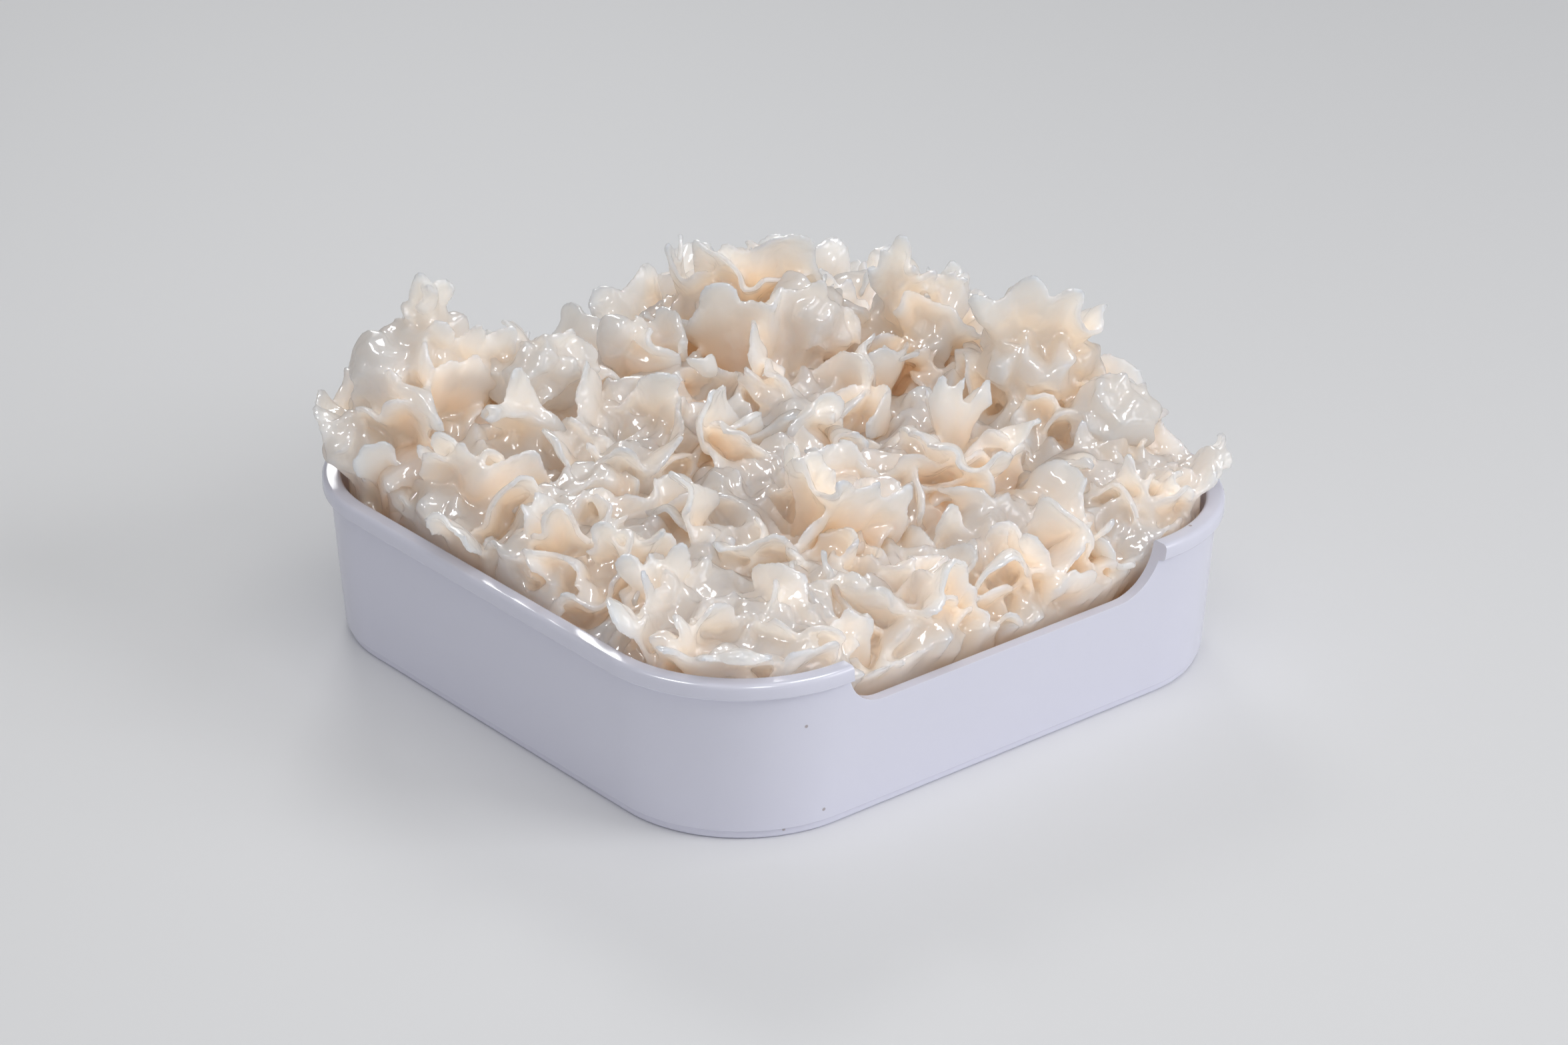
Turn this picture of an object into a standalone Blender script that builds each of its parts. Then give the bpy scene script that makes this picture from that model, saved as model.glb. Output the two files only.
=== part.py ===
"""Snow fungus heaped in a square white tray.

Metres, +Z up. The origin is the middle of the tray's underside.
The tray stands with its cut-down rim towards -Y.
"""
import math
import random

import bmesh
import bpy
import numpy as np

MM = 0.001

# Tray, all in millimetres
CORNER_CENTRE = 46.0
WALL_HALF_BOTTOM = 77.8
WALL_HALF_TOP = 80.0
LIP_HALF = 81.7
LIP_UNDERSIDE = 34.8
TRAY_HEIGHT = 38.5
INNER_HALF_TOP = 77.5
INNER_HALF_BOTTOM = 75.6
FLOOR_TOP = 2.6
CORNER_STEPS = 6

# Cut-down stretch of the rim on the -Y side
NOTCH_LEFT = -45.0
NOTCH_RIGHT = 43.5
NOTCH_BOTTOM = 27.0
NOTCH_LEFT_RADIUS = 7.0
NOTCH_RIGHT_RADIUS = 10.0

# The fungus spills through the notch only up to here
SPILL_RIGHT = -12.0

# Fungus
SEED = 29
BASE_RADII = (6.0, 15.0, 24.0, 34.0)
BASE_SHARE = 0.7
PRESS_SOFTNESS = 1.6
HALF_GAP = 0.35
SHEET_THICKNESS = 3.0
TIP_LIMIT = 71.0
SHEET_COLUMNS = 15
SHEET_ROWS = 7
VOXEL = 1.3
FLORET_TRIANGLES = 500
TRAY_GAP = 0.4

# Each torn floret: name, middle x and y in the tray, height of its top
FLORETS = (
    ("left_corner", -54.0, 54.0, 66.0),
    ("left_side", -58.0, 22.0, 58.0),
    ("front_left", -56.0, -14.0, 54.0),
    ("near_corner", -54.0, -52.0, 51.0),
    ("back_left", -16.0, 58.0, 58.0),
    ("inner_left", -26.0, 20.0, 66.0),
    ("inner_front", -20.0, -22.0, 60.0),
    ("front", -18.0, -58.0, 52.0),
    ("back", 22.0, 52.0, 65.0),
    ("inner_back", 12.0, 14.0, 64.0),
    ("inner_right", 22.0, -26.0, 60.0),
    ("front_right", 20.0, -60.0, 48.0),
    ("back_corner", 58.0, 56.0, 54.0),
    ("back_right", 52.0, 18.0, 62.0),
    ("right_side", 60.0, -20.0, 62.0),
    ("right_corner", 57.0, -57.0, 52.0),
)

# Tall lobes that give the heap its outline:
# floret, tip x, y, z, length, half fan angle in degrees, facing in degrees
LOBES = (
    ("left_corner", -50.0, 60.0, 79.0, 26.0, 22.0, -40.0),
    ("left_corner", -64.0, 56.0, 69.0, 24.0, 55.0, -50.0),
    ("left_side", -78.0, 50.0, 54.0, 24.0, 60.0, -80.0),
    ("back_left", -26.0, 47.0, 68.0, 24.0, 60.0, -40.0),
    ("back_left", -8.0, 47.0, 64.0, 18.0, 30.0, -40.0),
    ("back", 14.0, 47.0, 72.0, 28.0, 65.0, -45.0),
    ("back", 34.0, 31.0, 76.0, 28.0, 60.0, -35.0),
    ("back_right", 49.0, 16.0, 74.0, 26.0, 35.0, -40.0),
    ("back_right", 60.0, 5.0, 70.0, 22.0, 40.0, -20.0),
    ("right_side", 62.0, -27.0, 76.0, 30.0, 55.0, -38.0),
    ("right_side", 64.0, -44.0, 60.0, 22.0, 55.0, -30.0),
    ("right_corner", 80.0, -67.0, 45.0, 26.0, 30.0, 10.0),
    ("front", -30.0, -81.0, 31.0, 20.0, 45.0, -60.0),
    ("front_right", 36.0, -74.0, 38.0, 24.0, 60.0, -60.0),
)


def clear_scene():
    for item in list(bpy.data.objects):
        bpy.data.objects.remove(item, do_unlink=True)


def soft_positive(value, softness=PRESS_SOFTNESS):
    """Zero below zero, the value itself well above it, smooth between."""
    return 0.5 * (value + np.sqrt(value * value + softness * softness)) - 0.02


def smooth_step(low, high, value):
    t = np.clip((value - low) / (high - low), 0.0, 1.0)
    return t * t * (3.0 - 2.0 * t)


def inner_half(z):
    """Half width of the tray's hollow at a height."""
    share = np.clip((z - FLOOR_TOP) / (TRAY_HEIGHT - FLOOR_TOP), 0.0, 1.0)
    return INNER_HALF_BOTTOM + (INNER_HALF_TOP - INNER_HALF_BOTTOM) * share


def rim_height(x, y):
    """Height that holds the flesh in at the wall, lower where it spills through the notch."""
    along = smooth_step(NOTCH_LEFT, NOTCH_LEFT + 6.0, x) * (1.0 - smooth_step(SPILL_RIGHT - 6.0, SPILL_RIGHT, x))
    front = smooth_step(-50.0, -60.0, y)
    return TRAY_HEIGHT - (TRAY_HEIGHT - NOTCH_BOTTOM) * along * front


def wall_distance(points, half):
    """Signed distance outside a rounded square, with its direction."""
    sign = np.sign(points[:, :2])
    q = np.abs(points[:, :2]) - CORNER_CENTRE
    outside = np.maximum(q, 0.0)
    length = np.hypot(outside[:, 0], outside[:, 1])
    distance = length + np.minimum(np.maximum(q[:, 0], q[:, 1]), 0.0) - (half - CORNER_CENTRE)
    nearest_x = q[:, 0] > q[:, 1]
    axis = np.stack([nearest_x, ~nearest_x], axis=1).astype(float)
    corner = outside / np.maximum(length, 1e-9)[:, None]
    direction = np.where((length > 1e-6)[:, None], corner, axis) * sign
    return distance, direction


def middle_height(top):
    return FLOOR_TOP + 0.45 * (top - FLOOR_TOP)


def cell_planes(index):
    """Planes half way to each neighbouring floret: a point and a normal."""
    _, x, y, top = FLORETS[index]
    here = np.array([x, y, middle_height(top)])
    planes = []
    for other, (_, ox, oy, other_top) in enumerate(FLORETS):
        away = np.array([ox, oy, middle_height(other_top)]) - here
        distance = np.linalg.norm(away)
        if other != index and distance < 75.0:
            away[2] *= 0.3
            planes.append((here + 0.5 * (np.array([ox, oy, middle_height(other_top)]) - here),
                           away / np.linalg.norm(away)))
    return planes


def press(points, index, margin):
    """Squeeze a floret's flesh into its own room in the heap."""
    p = points.copy()
    for _ in range(2):
        for middle, normal in cell_planes(index):
            over = (p - middle) @ normal + margin
            p -= soft_positive(over)[:, None] * normal
        p[:, 2] = np.maximum(p[:, 2], FLOOR_TOP + margin)
        distance, direction = wall_distance(p, inner_half(p[:, 2]))
        rim = rim_height(p[:, 0], p[:, 1])
        hold = 1.0 - smooth_step(rim + 1.0, rim + 7.0, p[:, 2])
        p[:, :2] -= direction * (soft_positive(distance + margin) * hold)[:, None]
        distance, direction = wall_distance(p, 84.5)
        p[:, :2] -= direction * soft_positive(distance + margin, 1.5)[:, None]
    return p


def canopy(x, y):
    """Height of the heap's general surface."""
    total = 0.0
    weights = 0.0
    for _, fx, fy, top in FLORETS:
        weight = math.exp(-((x - fx) ** 2 + (y - fy) ** 2) / (2.0 * 17.0 ** 2))
        total += weight * top
        weights += weight
    return total / weights


def frond_specs(index):
    """Root, tip and shape of every main frond of one floret."""
    name, fx, fy, top = FLORETS[index]
    rng = random.Random(SEED + 101 * index)
    base = np.array([fx, fy, FLOOR_TOP + 7.0])
    specs = []
    count = 7
    turn = rng.uniform(0.0, 2.0 * math.pi)
    for number in range(count):
        reach = 22.0 * math.sqrt((number + 0.4) / count)
        angle = turn + 2.39996 * number
        tx = max(-TIP_LIMIT, min(TIP_LIMIT, fx + reach * math.cos(angle)))
        ty = max(-TIP_LIMIT, min(TIP_LIMIT, fy + reach * math.sin(angle)))
        tip = np.array([tx, ty, canopy(tx, ty) + rng.uniform(-3.0, 3.0)])
        length = rng.uniform(22.0, 30.0)
        specs.append({
            "tip": tip,
            "root": base + (tip - base) * (1.0 - min(0.8, length / np.linalg.norm(tip - base))),
            "half_fan": math.radians(rng.uniform(55.0, 85.0)),
            "facing": angle + rng.uniform(-0.7, 0.7),
            "cone": rng.uniform(0.25, 0.9),
            "curl": rng.uniform(-0.2, 0.9),
            "ruffle": rng.uniform(0.12, 0.2),
            "seed": rng.randrange(10 ** 6),
        })
    for owner, tx, ty, tz, length, half_fan, facing in LOBES:
        if owner == name:
            tip = np.array([tx, ty, tz])
            specs.append({
                "tip": tip,
                "root": base + (tip - base) * (1.0 - min(0.8, length / np.linalg.norm(tip - base))),
                "half_fan": math.radians(half_fan),
                "facing": math.radians(facing - 90.0),
                "cone": rng.uniform(0.2, 0.5),
                "curl": rng.uniform(-0.1, 0.3),
                "ruffle": rng.uniform(0.08, 0.14),
                "seed": rng.randrange(10 ** 6),
            })
    return specs


def grid_normals(grid):
    """Unit normals of a grid of points."""
    along_v = np.gradient(grid, axis=0)
    along_u = np.gradient(grid, axis=1)
    normal = np.cross(along_u, along_v)
    return normal / np.maximum(np.linalg.norm(normal, axis=2, keepdims=True), 1e-9)


def frond_sheet(spec, columns, rows):
    """Middle surface of one frond as a rows x columns grid of points."""
    rng = random.Random(spec["seed"])
    axis = spec["tip"] - spec["root"]
    length = np.linalg.norm(axis)
    u = np.linspace(-1.0, 1.0, columns)[None, :]
    v = np.linspace(0.0, 1.0, rows)[:, None] ** 0.85
    edge = 1.0 - 0.3 * np.abs(u) ** 4
    for waves in (2, 3, 5):
        edge = edge + rng.uniform(0.02, 0.07) * np.sin(math.pi * waves * u + rng.uniform(0.0, 6.28))
    swing = u * spec["half_fan"] / max(math.sin(spec["cone"]), 0.25) * 0.6
    cone = spec["cone"] + spec["curl"] * v ** 2
    ray = np.stack([np.sin(cone) * np.sin(swing), -np.sin(cone) * np.cos(swing),
                    np.cos(cone) + 0.0 * swing], axis=2)
    step = np.diff(np.concatenate([np.zeros((1, 1)), v * 0.92 + 0.08], axis=0), axis=0)
    grid = np.cumsum(ray * (step * length * edge)[:, :, None], axis=0)
    lean = spec["cone"]
    turn_back = np.array([[1.0, 0.0, 0.0],
                          [0.0, math.cos(lean), math.sin(lean)],
                          [0.0, -math.sin(lean), math.cos(lean)]])
    grid = grid @ turn_back.T
    normal = grid_normals(grid)
    sideways = np.gradient(grid, axis=1)
    sideways = sideways / np.maximum(np.linalg.norm(sideways, axis=2, keepdims=True), 1e-9)
    for waves, share in ((rng.uniform(1.6, 2.4), 1.0), (rng.uniform(3.0, 4.2), 0.6)):
        phase = math.pi * waves * u + rng.uniform(0.0, 6.28) + rng.uniform(-1.5, 1.5) * v
        height = spec["ruffle"] * share * length * v ** 1.6
        grid = grid + normal * (height * np.sin(phase))[:, :, None]
        grid = grid + sideways * (0.5 * height * np.cos(phase))[:, :, None]
    axis = axis / length
    facing = np.array([math.cos(spec["facing"]), math.sin(spec["facing"]), 0.0])
    across = np.cross(axis, facing)
    across = across / max(np.linalg.norm(across), 1e-6)
    front = np.cross(across, axis)
    frame = np.stack([across, -front, axis], axis=0)
    return grid @ frame + spec["root"]


def sheet_solid(grid, thickness):
    """Closed slab around a middle surface: vertices and faces."""
    rows, columns, _ = grid.shape
    offset = grid_normals(grid) * 0.5 * thickness
    front = (grid + offset).reshape(-1, 3)
    back = (grid - offset).reshape(-1, 3)
    size = rows * columns
    faces = []
    for row in range(rows - 1):
        for column in range(columns - 1):
            a = row * columns + column
            b = a + 1
            c = b + columns
            d = a + columns
            faces.append((a, b, c, d))
            faces.append((size + d, size + c, size + b, size + a))
    border = [column for column in range(columns)]
    border += [row * columns + columns - 1 for row in range(1, rows)]
    border += [(rows - 1) * columns + column for column in range(columns - 2, -1, -1)]
    border += [row * columns for row in range(rows - 2, 0, -1)]
    for here, after in zip(border, border[1:] + border[:1]):
        faces.append((after, here, size + here, size + after))
    return np.concatenate([front, back]), faces


def flesh_base(index):
    """Lumpy foot of a floret, the part its fronds grow from."""
    _, fx, fy, _ = FLORETS[index]
    rng = random.Random(SEED + 7 + index)
    phases = [rng.uniform(0.0, 6.28) for _ in range(4)]
    sectors = 20
    rows = [(radius, 0.0) for radius in BASE_RADII]
    rows += [(BASE_RADII[-1], level) for level in (0.35, 0.7)]
    rows += [(radius, 1.0) for radius in reversed(BASE_RADII)]
    points = []
    for radius, level in rows:
        for sector in range(sectors):
            around = 2.0 * math.pi * sector / sectors
            x = fx + radius * math.cos(around)
            y = fy + radius * math.sin(around)
            top = BASE_SHARE * canopy(x, y) + 2.5 * math.sin(0.21 * x + phases[0]) * math.sin(0.23 * y + phases[1])
            top += 1.5 * math.sin(0.43 * x + phases[2]) * math.sin(0.39 * y + phases[3])
            points.append((x, y, FLOOR_TOP + (top - FLOOR_TOP) * level))
    faces = [tuple(reversed(range(sectors)))]
    for row in range(len(rows) - 1):
        for sector in range(sectors):
            a = row * sectors + sector
            b = row * sectors + (sector + 1) % sectors
            faces.append((a, b, b + sectors, a + sectors))
    faces.append(tuple(range(len(points) - sectors, len(points))))
    return np.array(points), faces


def mesh_object(name, points, faces):
    mesh = bpy.data.meshes.new(name)
    mesh.from_pydata([tuple(point) for point in np.asarray(points) * MM], [], faces)
    mesh.update()
    item = bpy.data.objects.new(name, mesh)
    bpy.context.scene.collection.objects.link(item)
    return item


def joined_flesh(index):
    """All of one floret's raw pieces in one list of vertices and faces."""
    points, faces = flesh_base(index)
    points = press(points, index, HALF_GAP + 0.1)
    all_points = [points]
    all_faces = list(faces)
    start = len(points)
    for spec in frond_specs(index):
        grid = frond_sheet(spec, SHEET_COLUMNS, SHEET_ROWS)
        flat = press(grid.reshape(-1, 3), index, 0.5 * SHEET_THICKNESS + HALF_GAP)
        points, faces = sheet_solid(flat.reshape(grid.shape), SHEET_THICKNESS)
        all_points.append(points)
        all_faces += [tuple(start + corner for corner in face) for face in faces]
        start += len(points)
    return np.concatenate(all_points), all_faces


def evaluated_mesh(item):
    """Apply an object's modifiers and return the plain mesh."""
    graph = bpy.context.evaluated_depsgraph_get()
    return bpy.data.meshes.new_from_object(item.evaluated_get(graph))


def keep_largest_body(mesh):
    """Drop loose crumbs, so that one closed body is left."""
    bm = bmesh.new()
    bm.from_mesh(mesh)
    bm.faces.ensure_lookup_table()
    seen = set()
    groups = []
    for face in bm.faces:
        if face.index in seen:
            continue
        group = []
        stack = [face]
        seen.add(face.index)
        while stack:
            current = stack.pop()
            group.append(current)
            for edge in current.edges:
                for near in edge.link_faces:
                    if near.index not in seen:
                        seen.add(near.index)
                        stack.append(near)
        groups.append(group)
    groups.sort(key=len, reverse=True)
    crumbs = [face for group in groups[1:] for face in group]
    bmesh.ops.delete(bm, geom=crumbs, context="FACES")
    loose = [vert for vert in bm.verts if not vert.link_faces]
    bmesh.ops.delete(bm, geom=loose, context="VERTS")
    bmesh.ops.recalc_face_normals(bm, faces=bm.faces)
    bm.to_mesh(mesh)
    bm.free()


def hold_in_cell(mesh, index):
    """Move the few vertices that still stand past a neighbour's plane back."""
    points = np.empty(len(mesh.vertices) * 3)
    mesh.vertices.foreach_get("co", points)
    points = points.reshape(-1, 3) / MM
    for _ in range(4):
        for middle, normal in cell_planes(index):
            over = np.maximum((points - middle) @ normal + HALF_GAP, 0.0)
            points -= over[:, None] * normal
        points[:, 2] = np.maximum(points[:, 2], FLOOR_TOP + 0.35)
    mesh.vertices.foreach_set("co", (points * MM).ravel())
    mesh.update()


def rounded_square(half, z, steps):
    """Corner points of a rounded square, anticlockwise from above."""
    radius = half - CORNER_CENTRE
    points = []
    for quarter in range(4):
        cx = CORNER_CENTRE * (1, -1, -1, 1)[quarter]
        cy = CORNER_CENTRE * (1, 1, -1, -1)[quarter]
        for step in range(steps + 1):
            angle = 0.5 * math.pi * (quarter + step / steps)
            points.append((cx + radius * math.cos(angle), cy + radius * math.sin(angle), z))
    return points


def tray_profile(grow):
    """Half width and height of every ring of the tray, outside then inside."""
    return (
        (76.4 + grow, -grow),
        (77.1 + grow, 0.5 - grow),
        (77.1 + grow, 1.9),
        (WALL_HALF_BOTTOM + grow, 2.3),
        (WALL_HALF_TOP + grow, LIP_UNDERSIDE - grow),
        (LIP_HALF - 0.4 + grow, LIP_UNDERSIDE + 0.1 - grow),
        (LIP_HALF + grow, LIP_UNDERSIDE + 0.7),
        (LIP_HALF + grow, TRAY_HEIGHT - 1.1),
        (LIP_HALF - 0.9 + grow, TRAY_HEIGHT + grow),
        (INNER_HALF_TOP + 0.8 - grow, TRAY_HEIGHT + grow),
        (INNER_HALF_TOP - grow, TRAY_HEIGHT - 0.8),
        (INNER_HALF_BOTTOM + 0.2 - grow, 6.0),
        (INNER_HALF_BOTTOM - 1.2 - grow, 3.4 + grow),
        (INNER_HALF_BOTTOM - 3.8 - grow, FLOOR_TOP + grow),
    )


def tray_solid(name, grow=0.0, steps=CORNER_STEPS):
    """Turned profile of the tray, thicker all over by grow."""
    points = []
    for half, z in tray_profile(grow):
        points += rounded_square(half, z, steps)
    count = 4 * (steps + 1)
    rings = len(points) // count
    faces = [tuple(reversed(range(count))), tuple(range((rings - 1) * count, rings * count))]
    for ring in range(rings - 1):
        for corner in range(count):
            a = ring * count + corner
            b = ring * count + (corner + 1) % count
            faces.append((a, b, b + count, a + count))
    return mesh_object(name, points, faces)


def notch_outline(shrink):
    """The cut in the -Y wall seen from the front: x and z."""
    left = NOTCH_LEFT + shrink
    right = NOTCH_RIGHT - shrink
    bottom = NOTCH_BOTTOM + shrink
    outline = [(left, TRAY_HEIGHT + 5.0)]
    for centre_x, radius, start in ((left, NOTCH_LEFT_RADIUS, 180.0), (right, NOTCH_RIGHT_RADIUS, 270.0)):
        inward = 1.0 if start == 180.0 else -1.0
        for step in range(5):
            angle = math.radians(start + 90.0 * step / 4)
            outline.append((centre_x + inward * radius + radius * math.cos(angle),
                            bottom + radius + radius * math.sin(angle)))
    outline.append((right, TRAY_HEIGHT + 5.0))
    return outline


def notch_cutter(name, shrink=0.0):
    outline = notch_outline(shrink)
    count = len(outline)
    points = [(x, -95.0, z) for x, z in outline] + [(x, -70.0, z) for x, z in outline]
    faces = [tuple(range(count)), tuple(reversed(range(count, 2 * count)))]
    for corner in range(count):
        after = (corner + 1) % count
        faces.append((after, corner, count + corner, count + after))
    cutter = mesh_object(name, points, faces)
    cutter.hide_render = True
    cutter.display_type = "WIRE"
    return cutter


def cut(item, cutter):
    """Take one solid away from another for good."""
    step = item.modifiers.new("cut", "BOOLEAN")
    step.operation = "DIFFERENCE"
    step.solver = "EXACT"
    step.object = cutter
    mesh = evaluated_mesh(item)
    item.modifiers.clear()
    item.data = mesh


def paint(item, colour, roughness, subsurface=0.0):
    material = bpy.data.materials.new(item.name)
    material.use_nodes = True
    shader = material.node_tree.nodes["Principled BSDF"]
    shader.inputs["Base Color"].default_value = (*colour, 1.0)
    shader.inputs["Roughness"].default_value = roughness
    shader.inputs["Subsurface Weight"].default_value = subsurface
    item.data.materials.clear()
    item.data.materials.append(material)


def make_tray():
    tray = tray_solid("tray")
    cutter = notch_cutter("notch_cutter")
    cut(tray, cutter)
    bpy.data.objects.remove(cutter, do_unlink=True)
    paint(tray, (0.80, 0.81, 0.88), 0.25)
    return tray


def make_floret(index, guard):
    """One floret: base and fronds fused, thinned out and kept clear."""
    name = FLORETS[index][0]
    points, faces = joined_flesh(index)
    item = mesh_object("floret_" + name, points, faces)
    fuse = item.modifiers.new("fuse", "REMESH")
    fuse.mode = "VOXEL"
    fuse.voxel_size = VOXEL * MM
    mesh = evaluated_mesh(item)
    item.modifiers.clear()
    item.data = mesh
    keep_largest_body(mesh)
    thin = item.modifiers.new("thin", "DECIMATE")
    triangles = sum(len(polygon.vertices) - 2 for polygon in mesh.polygons)
    thin.ratio = FLORET_TRIANGLES / triangles
    thin.use_collapse_triangulate = True
    mesh = evaluated_mesh(item)
    item.modifiers.clear()
    item.data = mesh
    hold_in_cell(mesh, index)
    cut(item, guard)
    keep_largest_body(item.data)
    for polygon in item.data.polygons:
        polygon.use_smooth = True
    paint(item, (0.90, 0.84, 0.78), 0.2, 0.3)
    return item


def main():
    clear_scene()
    make_tray()
    guard = tray_solid("guard", TRAY_GAP)
    cutter = notch_cutter("guard_cutter", TRAY_GAP)
    cut(guard, cutter)
    bpy.data.objects.remove(cutter, do_unlink=True)
    for index in range(len(FLORETS)):
        make_floret(index, guard)
    bpy.data.objects.remove(guard, do_unlink=True)


main()
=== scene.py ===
"""Looks of the snow fungus in its tray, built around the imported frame."""

import math
import random

import bpy
import numpy as np
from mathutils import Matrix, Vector


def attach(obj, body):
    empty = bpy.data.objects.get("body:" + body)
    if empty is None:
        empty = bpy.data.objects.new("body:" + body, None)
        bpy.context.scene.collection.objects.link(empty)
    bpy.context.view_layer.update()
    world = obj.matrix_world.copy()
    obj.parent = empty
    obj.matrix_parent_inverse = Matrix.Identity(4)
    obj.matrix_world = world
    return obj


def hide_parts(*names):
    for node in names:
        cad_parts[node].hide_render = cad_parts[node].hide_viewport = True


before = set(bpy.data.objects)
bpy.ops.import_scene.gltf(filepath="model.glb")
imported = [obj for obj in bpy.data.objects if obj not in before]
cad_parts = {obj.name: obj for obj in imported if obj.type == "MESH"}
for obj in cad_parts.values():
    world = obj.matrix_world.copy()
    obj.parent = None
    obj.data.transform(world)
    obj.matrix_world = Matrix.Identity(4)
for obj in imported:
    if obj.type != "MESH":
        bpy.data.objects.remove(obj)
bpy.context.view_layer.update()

MM = 0.001

# Tray, in millimetres as in the model's source
CORNER_CENTRE = 46.0
WALL_HALF_BOTTOM = 77.8
WALL_HALF_TOP = 80.0
LIP_HALF = 81.7
LIP_UNDERSIDE = 34.8
TRAY_HEIGHT = 38.5
FOOT_HALF = 77.1
WALL_HALF_MIDDLE = 78.9
INNER_HALF_TOP = 77.5
INNER_HALF_MIDDLE = 76.6
INNER_HALF_BOTTOM = 75.6
FLOOR_TOP = 2.6
NOTCH_LEFT = -45.0
NOTCH_RIGHT = 43.5
NOTCH_BOTTOM = 27.0
NOTCH_SLOPE = 6.0
NOTCH_LEFT_RADIUS = 10.0
NOTCH_RIGHT_RADIUS = 11.4
SPILL_RIGHT = -12.0
TRAY_CORNER_STEPS = 24
TRAY_COLOUR = (0.765, 0.765, 0.875, 1.0)
SPECK_COLOUR = (0.45, 0.40, 0.42, 1.0)

# Fungus, in millimetres
SEED = 29
GOLDEN_ANGLE = 2.39996
FRONDS_PER_FLORET = 5
FROND_REACH = 22.0
FRILL_REACH = 21.0
TIP_LIMIT = 71.0
FLORET_SPREAD = 17.0
OUTER_LIMIT = 84.5
ROOT_HEIGHT = 7.0
MIDDLE_SHARE = 0.45
NEIGHBOUR_RANGE = 75.0
NEIGHBOUR_LEAN = 0.3
LOBE_CALM = 0.5
PRESS_SOFTNESS = 1.6
NEIGHBOUR_OVERLAP = 7.0
WALL_MARGIN = 0.9
LEDGE_LEAN = 2.4
BASE_SHARE = 0.80
EDGE_DROP = 0.14
MAIN_COLUMNS = 72
MAIN_ROWS = 30
FRILL_COLUMNS = 44
FRILL_ROWS = 18
FRILLS_PER_FLORET = 3
RIBBON_COLUMNS = 100
RIBBON_ROWS = 16
RIBBONS_PER_FLORET = 1
COVER_LAYERS = 2.2
MASS_SECTORS = 180
MASS_RINGS = 44
MASS_SIDE_RINGS = 10
MASS_OVERLAP = 2.5
MASS_MARGIN = 0.6
KNOB_OVERLAP = 14.0
KNOB_FULL_SIZE = 11.0
KNOB_SINK = 2.0
KNOB_SECTORS = 84
KNOB_RINGS = 52
WALL_FRILL_SPACING = 15.0
ROOT_THICKNESS = 2.1
EDGE_THICKNESS = 0.95
SKIN_VOXEL = 0.66
SKIN_ROUNDS = 4
TRIANGLE_LIMIT = 930000
# Flesh colours: shallow is the gel's own colour, middle and deep are painted shade where layers of flesh
# lie above, the rim colour is painted light on thin edges
FLESH_SHALLOW = (0.98, 0.965, 0.95, 1.0)
FLESH_PAINTED_SHADE_MIDDLE = (0.975, 0.895, 0.80, 1.0)
FLESH_PAINTED_SHADE_DEEP = (0.95, 0.76, 0.53, 1.0)
PAINTED_RIM_LIGHT_COLOUR = (0.95, 0.965, 1.0, 1.0)
LIGHT_THROUGH = 0.46

# Florets: name, middle x and y, height of the top
FLORETS = (
    ("left_corner", -54.0, 54.0, 63.0),
    ("left_side", -58.0, 22.0, 56.0),
    ("front_left", -56.0, -14.0, 50.0),
    ("near_corner", -54.0, -52.0, 47.0),
    ("back_left", -16.0, 58.0, 55.0),
    ("inner_left", -26.0, 20.0, 62.0),
    ("inner_front", -20.0, -22.0, 54.0),
    ("front", -18.0, -58.0, 44.0),
    ("back", 22.0, 52.0, 65.0),
    ("inner_back", 12.0, 14.0, 60.0),
    ("inner_right", 22.0, -26.0, 55.0),
    ("front_right", 20.0, -60.0, 42.0),
    ("back_corner", 58.0, 56.0, 55.0),
    ("back_right", 52.0, 18.0, 62.0),
    ("right_side", 60.0, -20.0, 62.0),
    ("right_corner", 57.0, -57.0, 49.0),
)

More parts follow.
